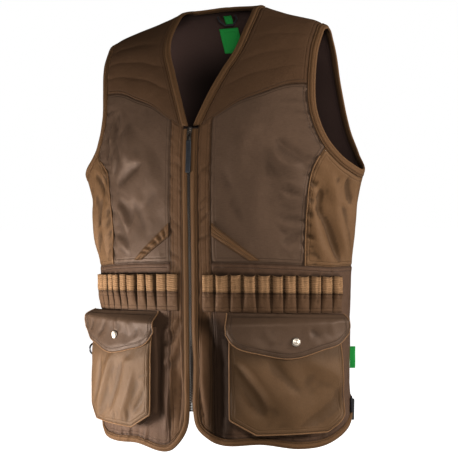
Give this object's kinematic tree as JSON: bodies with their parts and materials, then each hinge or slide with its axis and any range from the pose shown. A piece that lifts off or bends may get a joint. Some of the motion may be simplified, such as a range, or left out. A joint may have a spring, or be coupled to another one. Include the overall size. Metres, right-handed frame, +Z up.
{
  "type": "gilet",
  "caption": "Sleeveless zip-front shooting gilet in its worn hollow form, with quilted yokes, cartridge loops and bellows pockets.",
  "frame": {"origin": "top of the shoulders on the body's middle plane, where the wearer carries the garment", "axes": "+Z up, the front faces -Y, +X to the wearer's left"},
  "size_m": [0.513, 0.2908, 0.7499],
  "materials": {
    "chest_cloth": "satin purple-brown twill",
    "yoke_cloth": "matt dark olive-brown quilted cloth",
    "khaki_cloth": "soft khaki-brown twill",
    "lower_cloth": "matt dark brown twill",
    "placket_cloth": "khaki-brown twill",
    "binding_cloth": "khaki bias binding",
    "loop_webbing": "ribbed tan elastic",
    "green_label": "woven green label, left plain",
    "black_plastic": "moulded, satin",
    "black_webbing": "woven tape",
    "snap_metal": "brushed nickel",
    "zip_metal": "dark antique metal",
    "puller_rubber": "moulded dark slate rubber"
  },
  "bodies": {
    "garment": {"adjuster_slide_left": "black_plastic", "adjuster_slide_right": "black_plastic", "adjuster_strap_left": "black_webbing", "adjuster_strap_right": "black_webbing", "armhole_binding_left": "binding_cloth", "armhole_binding_right": "binding_cloth", "back_hem_binding": "binding_cloth", "back_panel": "lower_cloth", "d_ring": "black_plastic", "d_ring_tab": "black_webbing", "front_chest_left": "chest_cloth", "front_chest_right": "chest_cloth", "front_edge_binding_left": "binding_cloth", "front_edge_binding_right": "binding_cloth", "front_yoke_left": "yoke_cloth", "front_yoke_right": "yoke_cloth", "hanger_loop": "black_webbing", "hanger_tag": "green_label", "loop_base_left": "lower_cloth", "loop_base_right": "lower_cloth", "loop_elastic_left": "loop_webbing", "loop_elastic_right": "loop_webbing", "lower_front_left": "lower_cloth", "lower_front_right": "lower_cloth", "neck_binding": "binding_cloth", "neck_label": "green_label", "placket_left": "placket_cloth", "placket_right": "placket_cloth", "pocket_face_left": "khaki_cloth", "pocket_face_right": "khaki_cloth", "pocket_flap_left": "chest_cloth", "pocket_flap_right": "chest_cloth", "pocket_gusset_left": "lower_cloth", "pocket_gusset_right": "lower_cloth", "side_panel_left": "khaki_cloth", "side_panel_right": "khaki_cloth", "side_tag": "green_label", "snap_left": "snap_metal", "snap_right": "snap_metal", "welt_left": "binding_cloth", "welt_right": "binding_cloth", "zip_chain": "zip_metal", "zip_slider": "zip_metal", "zip_tape_left": "black_webbing", "zip_tape_right": "black_webbing"},
    "zip_pull": {"zip_pull_tab": "zip_metal", "zip_puller": "puller_rubber"}
  },
  "joints": [
    {"name": "zip_pull_swing", "type": "hinge", "parent": "garment", "child": "zip_pull", "pos_m": [0, -0.14627, -0.21373], "axis": [-1, 0, 0], "range_deg": [0, 150]}
  ]
}
